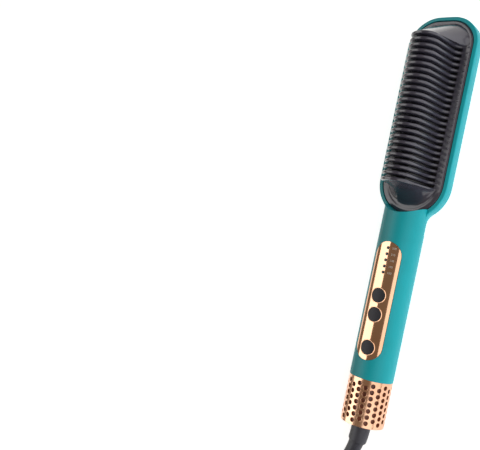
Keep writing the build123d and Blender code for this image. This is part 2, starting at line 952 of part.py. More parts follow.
# Swivel housing: a plain bearing behind a wider chamber
housing_front_x = tail_x + housing_length
shoulder_x = tail_x + housing_bearing
chamber_radius = sleeve_flange_radius + flange_gap
with BuildPart() as swivel_housing:
    bar(core_back_x, housing_front_x, housing_radius)
    bar(core_back_x, shoulder_x, sleeve_radius + running_gap, Mode.SUBTRACT)
    bar(shoulder_x, housing_front_x, chamber_radius, Mode.SUBTRACT)
swivel_housing.part.label = "swivel_housing"
export_step(swivel_housing.part, "parts/swivel_housing.step")

# Slip rings on the sleeve's nose, the second one larger
ring_bore = nose_radius + ring_seat_gap
ring_radii = [ring_bore + ring_thickness, ring_bore + ring_thickness + ring_step]
ring_fronts = [housing_front_x - ring_inset, housing_front_x - ring_inset - ring_spacing]
with BuildPart() as slip_rings:
    for front_x, radius in zip(ring_fronts, ring_radii):
        bar(front_x - ring_width, front_x, radius)
        bar(front_x - ring_width, front_x, ring_bore, Mode.SUBTRACT)
slip_rings.part.label = "slip_rings"
export_step(slip_rings.part, "parts/slip_rings.step")

# Contact wipers, one reaching each ring through the cap
cap_front_x = housing_front_x + cap_thickness
wiper_front_x = cap_front_x + wiper_overhang
wiper_sides = [1, -1]
wiper_lines = [
    side * (radius + wiper_gap + wiper_thickness / 2) for side, radius in zip(wiper_sides, ring_radii)
]
with BuildPart() as contact_wipers:
    for line_y, ring_front_x in zip(wiper_lines, ring_fronts):
        with BuildSketch(Plane.YZ.offset(ring_front_x - ring_width)):
            with Locations((line_y, axis_z)):
                Rectangle(wiper_thickness, wiper_width)
        extrude(amount=wiper_front_x - ring_front_x + ring_width)
contact_wipers.part.label = "contact_wipers"
export_step(contact_wipers.part, "parts/contact_wipers.step")

# Cap over the chamber, slotted for the wipers
with BuildPart() as swivel_cap:
    bar(housing_front_x, cap_front_x, housing_radius)
    bar(housing_front_x, cap_front_x, nose_radius + cap_gap, Mode.SUBTRACT)
    with BuildSketch(Plane.YZ.offset(housing_front_x)):
        with Locations(*[(line_y, axis_z) for line_y in wiper_lines]):
            Rectangle(wiper_thickness + 2 * wiper_slack, wiper_width + 2 * wiper_slack)
    extrude(amount=cap_thickness, mode=Mode.SUBTRACT)
swivel_cap.part.label = "swivel_cap"
export_step(swivel_cap.part, "parts/swivel_cap.step")

# Mains leads from the terminal block to the wipers
terminal_back_x = terminal_x - terminal_length / 2
terminal_z = board_bottom - terminal_height / 2
with BuildPart() as mains_leads:
    for side, line_y in zip(wiper_sides, wiper_lines):
        wire(
            [
                (terminal_back_x, side * lead_y, terminal_z),
                (terminal_back_x - lead_jog, side * lead_y, terminal_z),
                (wiper_front_x + lead_jog, line_y, axis_z),
                (wiper_front_x, line_y, axis_z),
            ],
            lead_bend,
            lead_radius,
        )
mains_leads.part.label = "mains_leads"
export_step(mains_leads.part, "parts/mains_leads.step")

# Swivel sleeve: shaft in the bearing, flange in the chamber and a nose for the rings
flange_back_x = shoulder_x + flange_gap
with BuildPart() as swivel_sleeve:
    bar(tail_x, flange_back_x, sleeve_radius)
    bar(flange_back_x, flange_back_x + sleeve_flange_width, sleeve_flange_radius)
    bar(flange_back_x, cap_front_x + nose_overhang, nose_radius)
swivel_sleeve.part.label = "swivel_sleeve"
export_step(swivel_sleeve.part, "parts/swivel_sleeve.step")

# Flexible boot: a stepped taper that bends towards the floor
boot_swing = Vector(0, boot_side, -boot_down).normalized()


def boot_plane(distance):
    """Plane square to the boot's bend at one distance along it."""
    angle = distance / boot_bend
    ahead = Vector(-1, 0, 0)
    place = Vector(tail_x, 0, axis_z)
    place += ahead * (boot_bend * math.sin(angle)) + boot_swing * (boot_bend * (1 - math.cos(angle)))
    return Plane(origin=place, z_dir=ahead * math.cos(angle) + boot_swing * math.sin(angle))


def boot_stages(start, end, start_radius, end_radius, count):
    """Sweep one taper of the boot in short stages along its bend, each a little slimmer."""
    for step in range(count):
        begin = boot_plane(start + (end - start) * step / count)
        finish = boot_plane(start + (end - start) * (step + 1) / count)
        with BuildLine() as bend:
            TangentArc(begin.origin, finish.origin, tangent=begin.z_dir)
        with BuildSketch(begin) as ring:
            RegularPolygon(start_radius + (end_radius - start_radius) * step / (count - 1), boot_sides)
        sweep(ring.sketch, path=bend.line)


with BuildPart() as strain_relief:
    boot_stages(0, boot_root_length, boot_root_radius, boot_step_radius, 2)
    boot_stages(boot_root_length, boot_length, boot_neck_radius, boot_end_radius, 4)
strain_relief.part.label = "strain_relief"
export_step(strain_relief.part, "parts/strain_relief.step")


def report_tube(route, section):
    """Print a tube's length and the volume that its section and length give."""
    length = sum(edge.length for edge in route.edges())
    print("cord length", round(length, 1), "expected volume", round(length * section.sketch.area, 1))


def cord_tube(points):
    """Sweep the cord along straight runs joined by arcs as large as the runs allow."""
    radii = []
    for before, corner, after in zip(points, points[1:], points[2:]):
        turn = math.radians((corner - before).get_angle(after - corner))
        shorter = min((corner - before).length, (after - corner).length)
        radii.append(0.45 * shorter / math.tan(turn / 2))
    print("cord radii", [round(radius, 1) for radius in radii])
    with BuildLine() as route:
        FilletPolyline(*points, radius=radii)
    with BuildSketch(Plane(origin=route.line @ 0, z_dir=route.line % 0)) as section:
        RegularPolygon(cord_radius, cord_sides)
    sweep(section.sketch, path=route.line)
    report_tube(route, section)


# Free cord from the boot down to the hank
far_way = Vector(-1, 0, 0)
near_way = Vector(1, 0, 0)
boot_end = boot_plane(boot_length)
hank_floor_z = hank_base + cord_radius
hank_start = Vector(hank_near_x, hank_centre_y + hank_outer_y, hank_floor_z)
with BuildPart() as power_cord:
    cord_tube(
        [
            boot_end.origin,
            boot_end.origin + boot_end.z_dir * cord_first_run,
            hank_start + near_way * cord_last_run,
            hank_start,
        ]
    )
print("cord volume", round(power_cord.part.volume, 1))
power_cord.part.label = "power_cord"
export_step(power_cord.part, "parts/power_cord.step")

# Hank: four loops of two runs each, drawn in at the waist. Every second run climbs a layer,
# on lines that change places, and the cord leaves the top loop for the plug.
hank_far_x = hank_near_x - hank_run
hank_middle_x = (hank_near_x + hank_far_x) / 2
outbound_ys = [hank_outer_y, hank_inner_y, hank_outer_y, hank_inner_y, hank_outer_y]
back_y = hank_centre_y + hank_return_y
stations = [(hank_start + far_way * cord_diameter, far_way)]
layer_z = hank_floor_z
for side_y, next_side_y in zip(outbound_ys, outbound_ys[1:]):
    next_z = layer_z if layer_z == hank_floor_z and len(stations) == 1 else layer_z + hank_step
    out_y = hank_centre_y + side_y
    stations += [
        (Vector(hank_middle_x, out_y - hank_waist, (layer_z + next_z) / 2), far_way),
        (Vector(hank_far_x, out_y, next_z), far_way),
        (Vector(hank_far_x, back_y, next_z), near_way),
        (Vector(hank_middle_x, back_y + hank_waist, next_z), near_way),
        (Vector(hank_near_x, back_y, next_z), near_way),
        (Vector(hank_near_x, hank_centre_y + next_side_y, next_z), far_way),
    ]
    layer_z = next_z


def biarc_joint(start, start_way, end, end_way):
    """Point and direction where two tangent arcs between two stations meet."""
    span = end - start
    square = 2 * (start_way.dot(end_way) - 1)
    linear = -2 * span.dot(start_way + end_way)
    rest = span.dot(span)
    if abs(square) < 1e-9:
        reach = -rest / linear
    else:
        reach = (-linear - math.sqrt(linear**2 - 4 * square * rest)) / (2 * square)
    first = start + start_way * reach
    second = end - end_way * reach
    return (first + second) * 0.5, (second - first).normalized()


with BuildLine() as hank_route:
    Line(hank_start, hank_start + far_way * cord_diameter)
    for (start, start_way), (end, end_way) in zip(stations, stations[1:]):
        joint, joint_way = biarc_joint(start, start_way, end, end_way)
        TangentArc(start, joint, tangent=start_way)
        TangentArc(joint, end, tangent=joint_way)
    hank_last = stations[-1][0]
    Line(hank_last, hank_last + far_way * cord_diameter)
with BuildPart() as cord_hank:
    with BuildSketch(Plane(origin=hank_route.line @ 0, z_dir=hank_route.line % 0)) as hank_section:
        RegularPolygon(cord_radius, cord_sides)
    sweep(hank_section.sketch, path=hank_route.line)
report_tube(hank_route, hank_section)
print("hank volume", round(cord_hank.part.volume, 1))

# Least gap between stretches of the hank that aren't neighbours along the cord
hank_length = sum(edge.length for edge in hank_route.edges())
samples = [hank_route.line @ (step / hank_samples) for step in range(hank_samples + 1)]
apart = math.ceil(3 * cord_diameter / (hank_length / hank_samples))
nearest = min(
    math.dist(tuple(first), tuple(second))
    for index, first in enumerate(samples)
    for second in samples[index + apart :]
)
print("least gap in the hank", round(nearest - cord_diameter, 2))
cord_hank.part.label = "cord_hank"
export_step(cord_hank.part, "parts/cord_hank.step")

# Tie round the hank's waist
bundle_low_y = hank_centre_y + hank_return_y + hank_waist - cord_radius - tie_gap
bundle_high_y = hank_centre_y + hank_outer_y - hank_waist + cord_radius + tie_gap
lead_end_z = layer_z + cord_radius + plug_rise + plug_height / 2
bundle_top_z = lead_end_z + cord_radius + tie_gap
with BuildPart() as cord_tie:
    with BuildSketch(Plane.YZ.offset(hank_middle_x - tie_width / 2)) as band:
        with Locations(((bundle_low_y + bundle_high_y) / 2, tie_thickness + bundle_top_z / 2)):
            RectangleRounded(
                bundle_high_y - bundle_low_y + 2 * tie_thickness,
                bundle_top_z + 2 * tie_thickness,
                tie_round + tie_thickness,
            )
            RectangleRounded(
                bundle_high_y - bundle_low_y,
                bundle_top_z,
                tie_round,
                mode=Mode.SUBTRACT,
            )
    extrude(amount=tie_width)
cord_tie.part.label = "cord_tie"
export_step(cord_tie.part, "parts/cord_tie.step")

# Cord from the hank's end, under the tie, to the plug
plug_y = hank_centre_y + (hank_inner_y + hank_return_y) / 2
lead_start = hank_last + far_way * cord_diameter
with BuildPart() as plug_lead:
    cord_tube(
        [
            lead_start,
            lead_start + far_way * lead_first_run,
            Vector(plug_x + lead_last_run, plug_y, lead_end_z),
            Vector(plug_x, plug_y, lead_end_z),
        ]
    )
print("plug lead volume", round(plug_lead.part.volume, 1))
plug_lead.part.label = "plug_lead"
export_step(plug_lead.part, "parts/plug_lead.step")


def plug_profile(plane, centre, grip, full):
    """Sketch the plug from one side: a straight grip that widens to the full body."""
    front_x = plug_x - plug_length
    corners = [
        (plug_x, grip / 2),
        (plug_x - plug_grip_length, grip / 2),
        (plug_x - plug_shoulder, full / 2),
        (front_x, full / 2),
    ]
    with BuildSketch(plane) as outline:
        with BuildLine():
            Polyline(
                *[(x, centre + half) for x, half in corners],
                *[(x, centre - half) for x, half in reversed(corners)],
                close=True,
            )
        make_face()
    return outline.sketch


# Flat two-pin plug lying on the hank, pointing away from the brush
with BuildPart() as plug_body:
    extrude(plug_profile(Plane.XY, plug_y, plug_grip_width, plug_width), amount=clear_height)
    extrude(
        plug_profile(Plane.XZ, lead_end_z, plug_grip_height, plug_height),
        amount=clear_height,
        both=True,
        mode=Mode.INTERSECT,
    )
    chamfer(plug_body.faces().sort_by(Axis.X)[0].edges().filter_by(Axis.Z), plug_chamfer)
plug_body.part.label = "plug_body"
export_step(plug_body.part, "parts/plug_body.step")

# Plug pins with bevelled tips
with BuildPart() as plug_pins:
    with BuildSketch(Plane.YZ.offset(plug_x - plug_length)):
        with Locations((plug_y, lead_end_z)):
            with GridLocations(pin_spacing, 1, 2, 1):
                Circle(pin_radius)
    extrude(amount=-pin_length)
    chamfer(plug_pins.faces().sort_by(Axis.X)[:2].edges(), pin_tip)
plug_pins.part.label = "plug_pins"
export_step(plug_pins.part, "parts/plug_pins.step")
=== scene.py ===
import json
import math

import bmesh
import bpy
from mathutils import Matrix, Vector


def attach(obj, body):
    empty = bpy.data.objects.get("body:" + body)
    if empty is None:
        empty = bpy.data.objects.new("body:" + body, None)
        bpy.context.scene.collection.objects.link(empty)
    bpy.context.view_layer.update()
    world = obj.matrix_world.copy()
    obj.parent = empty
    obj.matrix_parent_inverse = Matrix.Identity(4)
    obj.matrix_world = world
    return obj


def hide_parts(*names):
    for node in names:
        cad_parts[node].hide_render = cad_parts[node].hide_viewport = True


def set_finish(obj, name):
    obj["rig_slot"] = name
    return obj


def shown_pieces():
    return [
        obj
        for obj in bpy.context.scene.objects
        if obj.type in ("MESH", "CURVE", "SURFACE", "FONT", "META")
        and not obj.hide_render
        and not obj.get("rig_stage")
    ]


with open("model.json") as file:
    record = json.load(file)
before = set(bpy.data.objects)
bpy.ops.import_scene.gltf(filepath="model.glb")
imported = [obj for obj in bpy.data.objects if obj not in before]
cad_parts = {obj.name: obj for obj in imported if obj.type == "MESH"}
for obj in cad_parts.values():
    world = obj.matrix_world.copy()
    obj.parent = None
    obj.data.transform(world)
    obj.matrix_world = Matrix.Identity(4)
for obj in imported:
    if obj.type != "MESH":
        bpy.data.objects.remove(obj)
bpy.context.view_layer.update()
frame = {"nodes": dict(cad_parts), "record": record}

MM = 0.001

# Sizes and places of the brush in millimetres, and its counts, angles and printed numbers
TIP_X = 138.5
TAIL_X = -138.5
AXIS_Z = 14.4
HEAD_ROUND_X = 25.2
HEAD_HALF = 24.5
TIP_CORNER = 20.0
RIM_Z = 14.7
LEDGE_Z = 12.7
COVER_INSET = 3.1
WINDOW_HALF = 15.3
FIN_COUNT = 24
FIN_PITCH = 3.96
FIRST_FIN_X = 117.3
FIN_THICKNESS = 2.2
FIN_TOP = 45.2
FIN_RADIUS = 10.2
FIN_LEAN = 0.8
FIN_FOOT = 12.7
FIN_FILLET = 5.6
FIN_ROOT_Z = RIM_Z - 1.0
END_WALL_X = FIRST_FIN_X - FIN_PITCH * FIN_COUNT + FIN_THICKNESS / 2
END_WALL_THICKNESS = 2.4
WINDOW_FRONT_X = FIRST_FIN_X + FIN_THICKNESS / 2
WINDOW_BEVEL = 0.3
SLOPE_FOOT = 16.8
SLOPE_FILLET = 1.0
SLOPE_INSET = 0.12
SLOPE_ROOT_Z = RIM_Z - 0.6
RAMP_START_X = WINDOW_FRONT_X - 0.8
RAMP_END_Z = RIM_Z + 0.05
RAMP_INSET = 5.0
RAMP_HOLLOW = 0.4
RAMP_SPREAD = 0.85
SCOOP_FRONT_X = END_WALL_X - 0.9
SCOOP_TOP_X = END_WALL_X - 1.9
SCOOP_TURN = 80.0
LIP_BASE_Z = RIM_Z + 0.02
LIP_FADE = 4
NUB_Y = 19.2
COLLAR_LENGTH = 30.8
COLLAR_RADIUS = 14.4
COLLAR_WALL = 1.2
COLLAR_BEVEL = 0.22
COLLAR_BEVEL_ANGLE = 50.0
COLLAR_COLUMNS = 20
HOLE_ROWS = 7
HOLE_PITCH = 4.06
HOLE_RADIUS = 1.45
PANEL_RADIUS = 14.7
LIGHT_PITCH = 4.06
FIRST_LIGHT_X = -21.0
BUTTON_XS = (-52.6, -65.3, -87.2)
RIM_RADIUS = 5.1
RIM_TUBE = 0.26
LENS_RADIUS = 1.05
NUMBERS = ("230", "210", "190", "170", "150")
NUMBER_HEIGHT = 1.9
NUMBER_DEPTH = 0.01
NUMBER_RISE = 0.03
NUMBER_Y = -4.3
BOOT_STRAIGHT = 3.0
BOOT_BEND = 40.0
CORD_DIAMETER = 6.2
CORD_IN_PLUG = 1.0
PLUG_X = -292.0
PLUG_Y = -7.75
PLUG_Z = 34.2

# Steps in which round stretches are drawn
CROWN_STEPS = 9
FOOT_STEPS = 4
FIN_EDGE_STEPS = 4
ARC_STEPS = 22
SIDE_STEPS = 24
RAMP_STEPS = 14
SCOOP_STEPS = 18
CELL_STEPS = 4
HOLE_STEPS = 4 * CELL_STEPS
BOOT_STEPS = 40
PLUG_CORNER_STEPS = 8
RIM_STEPS = 48
RIM_TUBE_STEPS = 8
LENS_STEPS = 20

# How meshes are cleaned and shaded: distances in metres, angles in degrees
WELD = 2e-6
SLIVER = 1e-6
FLAT_ANGLE = 0.6
BEVEL_ANGLE = 35.0
SHADE_ANGLE = 40.0


def curve_object(name, points):
    """One open NURBS spline whose control points are the cord's route, in millimetres."""
    data = bpy.data.curves.new(name, "CURVE")
    data.dimensions = "3D"
    spline = data.splines.new("NURBS")
    spline.points.add(len(points) - 1)
    for place, point in zip(spline.points, points):
        place.co = (*(value * MM for value in point), 1.0)
        place.radius = CORD_DIAMETER / 2 * MM
    spline.order_u = 3
    spline.use_endpoint_u = True
    data.resolution_u = 8
    data.bevel_depth = 1.0
    data.bevel_resolution = 6
    data.use_fill_caps = True
    piece = bpy.data.objects.new(name, data)
    bpy.context.scene.collection.objects.link(piece)
    return piece


def mesh_object(name, points, faces):
    """A smooth-shaded mesh piece from points in millimetres."""
    mesh = bpy.data.meshes.new(name)
    mesh.from_pydata([tuple(value * MM for value in point) for point in points], [], faces)
    return finish_mesh(name, mesh)


def finish_mesh(name, mesh, angle=SHADE_ANGLE):
    """Weld the mesh, turn its faces outward and shade it smooth up to an angle."""
    work = bmesh.new()
    work.from_mesh(mesh)
    bmesh.ops.remove_doubles(work, verts=work.verts, dist=WELD)
    bmesh.ops.dissolve_degenerate(work, edges=work.edges, dist=SLIVER)
    bmesh.ops.recalc_face_normals(work, faces=work.faces)
    work.to_mesh(mesh)
    work.free()
    mesh.shade_smooth()
    mesh.set_sharp_from_angle(angle=math.radians(angle))
    piece = bpy.data.objects.new(name, mesh)
    bpy.context.scene.collection.objects.link(piece)
    return piece


def bevel(piece, width, angle=BEVEL_ANGLE):
    """Round a piece's hard edges."""
    modifier = piece.modifiers.new("edges", "BEVEL")
    modifier.width = width * MM
    modifier.segments = 2
    modifier.limit_method = "ANGLE"
    modifier.angle_limit = math.radians(angle)
    modifier.use_clamp_overlap = True
    modifier.harden_normals = True


def refined(name, node, width):
    """A piece with a node's own shape, its faces joined and its hard edges rounded."""
    source = frame["nodes"][node].data
    corners = [tuple(vertex.co) for vertex in source.vertices]
    faces = [tuple(face.vertices) for face in source.polygons]
    mesh = bpy.data.meshes.new(name)
    mesh.from_pydata(corners, [], faces)
    work = bmesh.new()
    work.from_mesh(mesh)
    bmesh.ops.remove_doubles(work, verts=work.verts, dist=WELD)
    flat = math.radians(FLAT_ANGLE)
    bmesh.ops.dissolve_limit(work, angle_limit=flat, verts=work.verts, edges=work.edges)
    work.to_mesh(mesh)
    work.free()
    piece = finish_mesh(name, mesh, BEVEL_ANGLE)
    bevel(piece, width)
    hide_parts(node)
    return piece


def rings(loops, caps=True):
    """Points and faces of a skin over closed loops of points that correspond."""
    count = len(loops[0])
    points = [point for loop in loops for point in loop]
    faces = []
    for row in range(len(loops) - 1):
        here = row * count
        for column in range(count):
            after = (column + 1) % count
            faces.append((here + column, here + after, here + count + after, here + count + column))
    if caps:
        faces.append(tuple(range(count)))
        faces.append(tuple(range((len(loops) - 1) * count, len(loops) * count)))
    return points, faces


def gather(parts):
    """Join several lists of points and faces into one."""
    points, faces = [], []
    for new_points, new_faces in parts:
        start = len(points)
        points += new_points
        faces += [tuple(start + index for index in face) for face in new_faces]
    return points, faces


# Camera, with its place in metres, fitted to the photo
CAMERA_PLACE = Vector((-0.0284, -0.2009, 0.4140))
CAMERA_RIGHT = Vector((0.2076, -0.7442, -0.6348)).normalized()
CAMERA_AHEAD = Vector((0.0042, 0.6497, -0.7602)).normalized()
CAMERA_UP = CAMERA_RIGHT.cross(CAMERA_AHEAD).normalized()
camera_data = bpy.data.cameras.new("camera")
camera_data.sensor_width = 36.0
camera_data.lens = 48.77
camera_data.clip_start = 0.02
camera = bpy.data.objects.new("camera", camera_data)
bpy.context.scene.collection.objects.link(camera)
camera_turn = Matrix((CAMERA_RIGHT, CAMERA_UP, -CAMERA_AHEAD)).transposed().to_4x4()
camera.matrix_world = Matrix.Translation(CAMERA_PLACE) @ camera_turn
bpy.context.scene.camera = camera

# Cord: out of the boot, down to the hank, four loops and over to the plug
HANK_NEAR_X = -216.5
HANK_FAR_X = -340.5
HANK_BACK_Y = -26.85
HANK_OUTER_Y = 18.35
HANK_INNER_Y = 11.35
HANK_WAIST = 6.0
HANK_FLOOR = 3.7
HANK_STEP = 6.75
TURN_POINTS = 4


def hank_run(start_x, end_x, y, waist, start_z, end_z):
    """Control points of one run, drawn in at the waist and climbing to the next layer."""
    shares = ((0.125, 0.0, 0.0), (0.375, 1.0, 0.5), (0.625, 1.0, 0.5), (0.875, 0.0, 1.0))
    return [
        (start_x + (end_x - start_x) * along, y + waist * pull, start_z + (end_z - start_z) * climb)
        for along, pull, climb in shares
    ]


def hank_turn(x, start_y, end_y, z, way):
    """Control points round one half turn, on the polygon that touches its circle."""
    centre_y = (start_y + end_y) / 2
    radius = (start_y - end_y) / 2
    reach = abs(radius) / math.cos(math.pi / (2 * TURN_POINTS))
    side = math.copysign(1, radius)
    angles = [(step + 0.5) * math.pi / TURN_POINTS for step in range(TURN_POINTS)]
    return [
        (x + way * reach * math.sin(angle), centre_y + side * reach * math.cos(angle), z)
        for angle in angles
    ]


route = [
    (-166.7, 8.37, 11.2),
    (-176.0, 15.43, 8.5),
    (-197.0, HANK_OUTER_Y, HANK_FLOOR),
    (HANK_NEAR_X, HANK_OUTER_Y, HANK_FLOOR),
]
layer = HANK_FLOOR
outbound = [HANK_OUTER_Y, HANK_INNER_Y, HANK_OUTER_Y, HANK_INNER_Y, HANK_OUTER_Y]
for loop, (out_y, next_y) in enumerate(zip(outbound, outbound[1:])):
    climbed = layer if loop == 0 else layer + HANK_STEP
    route += hank_run(HANK_NEAR_X, HANK_FAR_X, out_y, -HANK_WAIST, layer, climbed)
    route += hank_turn(HANK_FAR_X, out_y, HANK_BACK_Y, climbed, -1)
    route += hank_run(HANK_FAR_X, HANK_NEAR_X, HANK_BACK_Y, HANK_WAIST, climbed, climbed)
    route += hank_turn(HANK_NEAR_X, HANK_BACK_Y, next_y, climbed, 1)
    layer = climbed
route += [
    (-222.7, HANK_OUTER_Y, layer),
    (-242.7, HANK_OUTER_Y, layer),
    (-270.5, PLUG_Y, PLUG_Z),
    (PLUG_X - CORD_IN_PLUG, PLUG_Y, PLUG_Z),
]
cord = curve_object("cord", route)
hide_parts("power_cord", "cord_hank", "plug_lead")
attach(cord, "cord_swivel")
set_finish(cord, "cord")

# Boot: a stepped taper that leaves the tail straight and bends to one side
SWING = Vector((0.0, 0.934, -0.357)).normalized()
AHEAD = Vector((-1.0, 0.0, 0.0))


def boot_ring(distance, radius):
    """A ring of the boot square to its bend."""
    straight = min(distance, BOOT_STRAIGHT)
    angle = (distance - straight) / BOOT_BEND
    place = Vector((TAIL_X, 0.0, AXIS_Z)) + AHEAD * straight
    place += AHEAD * (BOOT_BEND * math.sin(angle)) + SWING * (BOOT_BEND * (1 - math.cos(angle)))
    axis = AHEAD * math.cos(angle) + SWING * math.sin(angle)
    first = axis.cross(SWING).normalized()
    second = axis.cross(first).normalized()
    turns = [2 * math.pi * step / BOOT_STEPS for step in range(BOOT_STEPS)]
    return [
        tuple(place + first * (radius * math.cos(turn)) + second * (radius * math.sin(turn)))
        for turn in turns
    ]


# Each station: distance from the tail and radius
BOOT_PROFILE = [
    (0.0, 6.4), (0.3, 6.4), (4.0, 6.32), (8.0, 6.24), (11.6, 6.15), (12.1, 6.05), (12.4, 5.8),
    (12.5, 5.3), (12.7, 5.12), (13.2, 5.08), (17.0, 4.82), (21.0, 4.58), (25.0, 4.33),
    (28.6, 4.1), (29.6, 4.0), (30.1, 3.8), (30.3, 3.45), (30.3, 3.1),
]
relief = mesh_object("cord_boot", *rings([boot_ring(*station) for station in BOOT_PROFILE]))
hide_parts("strain_relief")
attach(relief, "cord_swivel")
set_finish(relief, "boot")

# Plug: moulded body with a waisted grip


def plug_ring(distance, half_width, half_height, corner):
    """A rounded rectangle across the plug."""
    corner = min(corner, half_width, half_height)
    ring = []
    for quarter, (sign_y, sign_z) in enumerate(((1, 1), (-1, 1), (-1, -1), (1, -1))):
        for step in range(PLUG_CORNER_STEPS + 1):
            angle = math.pi / 2 * (quarter + step / PLUG_CORNER_STEPS)
            ring.append(
                (
                    PLUG_X - distance,
                    PLUG_Y + sign_y * (half_width - corner) + corner * math.cos(angle),
                    PLUG_Z + sign_z * (half_height - corner) + corner * math.sin(angle),
                )
            )
    return ring


# Each station: distance from the cord's end, half width, half height and corner radius
PLUG_PROFILE = [
    (0.0, 3.4, 3.4, 3.4), (0.0, 5.2, 4.8, 4.0), (0.4, 6.0, 5.3, 4.4), (1.6, 7.0, 5.7, 4.8),
    (4.0, 7.8, 5.9, 5.0), (6.0, 8.0, 5.9, 5.0), (10.0, 8.6, 6.0, 5.0), (13.0, 9.2, 6.0, 5.0),
    (17.0, 11.6, 6.2, 5.0), (20.5, 14.4, 6.5, 5.0), (23.5, 16.4, 6.8, 5.0), (26.0, 17.2, 6.85, 5.0),
    (30.0, 17.45, 6.85, 5.0), (35.4, 17.5, 6.85, 5.0), (36.5, 17.2, 6.6, 4.8), (37.0, 16.5, 5.9, 4.2),
]
plug = mesh_object("plug_moulding", *rings([plug_ring(*station) for station in PLUG_PROFILE]))
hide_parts("plug_body")
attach(plug, "cord_swivel")
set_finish(plug, "plug")

pins = refined("plug_contacts", "plug_pins", width=0.1)
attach(pins, "cord_swivel")
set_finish(pins, "pin")

# Comb: fins, border, nubs, ramp and scoop as one moulding

# Shares of a flank's length at which it has a point
FLANK_SHARES = (0.3, 0.6, 0.85)


def arch_outline(foot, inset, fillet, base_z):
    """Closed outline across the comb: round crown, straight flanks, flared feet."""
    centre = Vector((FIN_LEAN, FIN_TOP - FIN_RADIUS))
    halves = []
    for side in (1, -1):
        corner = Vector((side * foot, RIM_Z))
        span = corner - centre
        heading = math.atan2(span.y, span.x * side)
        touch = heading + math.acos(min(1.0, FIN_RADIUS / span.length))
        start = centre + Vector((side * math.cos(touch), math.sin(touch))) * FIN_RADIUS
        down = (corner - start).normalized()
        level = Vector((side, 0.0))
        turn = math.acos(max(-1.0, min(1.0, down.dot(level))))
        length = fillet * math.tan(turn / 2)
        begin = corner - down * length
        outward = Vector((-down.y, down.x))
        if outward.x * side < 0:
            outward = -outward
        hub = begin + outward * fillet
        back = -outward
        half = []
        for step in range(CROWN_STEPS + 1):
            angle = math.pi / 2 + (touch - math.pi / 2) * step / CROWN_STEPS
            normal = Vector((side * math.cos(angle), math.sin(angle)))
            half.append((centre + normal * FIN_RADIUS, normal))
        for share in FLANK_SHARES:
            half.append((start + (begin - start) * share, outward))
        for step in range(FOOT_STEPS + 1):
            sweep = turn * step / FOOT_STEPS
            spoke = Vector(
                (
                    back.x * math.cos(sweep) - side * back.y * math.sin(sweep),
                    back.y * math.cos(sweep) + side * back.x * math.sin(sweep),
                )
            )
            half.append((hub + spoke * fillet, -spoke))
        half.append((Vector((half[-1][0].x, base_z)), Vector((side, 0.0))))
        halves.append([place - normal * inset for place, normal in half])
    return halves[0][::-1] + halves[1][1:]


# Half a turn round a fin's edge: offset from the fin's middle, and how far the outline draws in
FIN_SECTION = [
    (FIN_THICKNESS / 2 * math.sin(angle), FIN_THICKNESS / 2 * (1 - math.cos(angle)))
    for angle in (
        math.radians(90.0 / FIN_EDGE_STEPS * step) for step in range(-FIN_EDGE_STEPS, FIN_EDGE_STEPS + 1)
    )
]


def fin(x, thickness=FIN_THICKNESS):
    """One fin with rounded edges."""
    scale = thickness / FIN_THICKNESS
    loops = []
    for offset, inset in FIN_SECTION:
        outline = arch_outline(FIN_FOOT, inset, FIN_FILLET, FIN_ROOT_Z)
        loops.append([(x + offset * scale, point.x, point.y) for point in outline])
    return rings(loops)


def head_outline(inset, z):
    """The comb's plan: half round towards the handle, rounded corners at the tip."""
    half = HEAD_HALF - inset
    corner = TIP_CORNER - inset
    corner_x = TIP_X - inset - corner
    corner_y = half - corner
    length = corner_x - HEAD_ROUND_X
    outline = []
    for step in range(2 * ARC_STEPS + 1):
        angle = math.pi / 2 + math.pi * step / (2 * ARC_STEPS)
        outline.append((HEAD_ROUND_X + half * math.cos(angle), half * math.sin(angle), z))
    for step in range(1, SIDE_STEPS):
        outline.append((HEAD_ROUND_X + length * step / SIDE_STEPS, -half, z))
    for step in range(ARC_STEPS + 1):
        angle = -math.pi / 2 + math.pi / 2 * step / ARC_STEPS
        outline.append((corner_x + corner * math.cos(angle), -corner_y + corner * math.sin(angle), z))
    for step in range(ARC_STEPS + 1):
        angle = math.pi / 2 * step / ARC_STEPS
        outline.append((corner_x + corner * math.cos(angle), corner_y + corner * math.sin(angle), z))
    for step in range(SIDE_STEPS - 1, 0, -1):
        outline.append((HEAD_ROUND_X + length * step / SIDE_STEPS, half, z))
    return outline


def window_outline(margin, z):
    """The comb's window, matched point by point to the plan around it."""
    low_x, high_x = END_WALL_X - margin, WINDOW_FRONT_X + margin
    half = WINDOW_HALF + margin
    return [
        (min(max(x, low_x), high_x), min(max(y, -half), half), z)
        for x, y, _ in head_outline(COVER_INSET, z)
    ]


# Each station of the border's outer edge: how far in it lies, and its rise above the rim
BORDER_EDGE = [(0.0, -0.5), (0.12, -0.2), (0.45, 0.0), (1.0, 0.0)]


def border():
    """The flat border round the window, with rounded edges."""
    loops = [window_outline(0.0, LEDGE_Z), head_outline(COVER_INSET, LEDGE_Z)]
    loops += [head_outline(COVER_INSET + inward, RIM_Z + rise) for inward, rise in BORDER_EDGE]
    loops += [
        window_outline(WINDOW_BEVEL, RIM_Z),
        window_outline(0.0, RIM_Z - WINDOW_BEVEL),
        window_outline(0.0, LEDGE_Z),
    ]
    return rings(loops, caps=False)


# Each station of a nub: half length, half width and rise above the rim
NUB_PROFILE = [(0.75, 0.6, -0.3), (0.75, 0.6, 0.05), (0.55, 0.3, 0.45), (0.35, 0.12, 0.7)]


def nub(x, y):
    """A small oblong locating nub with sloping sides."""
    signs = ((-1, -1), (1, -1), (1, 1), (-1, 1))
    return rings(
        [
            [(x + sign_x * half_x, y + sign_y * half_y, RIM_Z + rise) for sign_x, sign_y in signs]
            for half_x, half_y, rise in NUB_PROFILE
        ]
    )


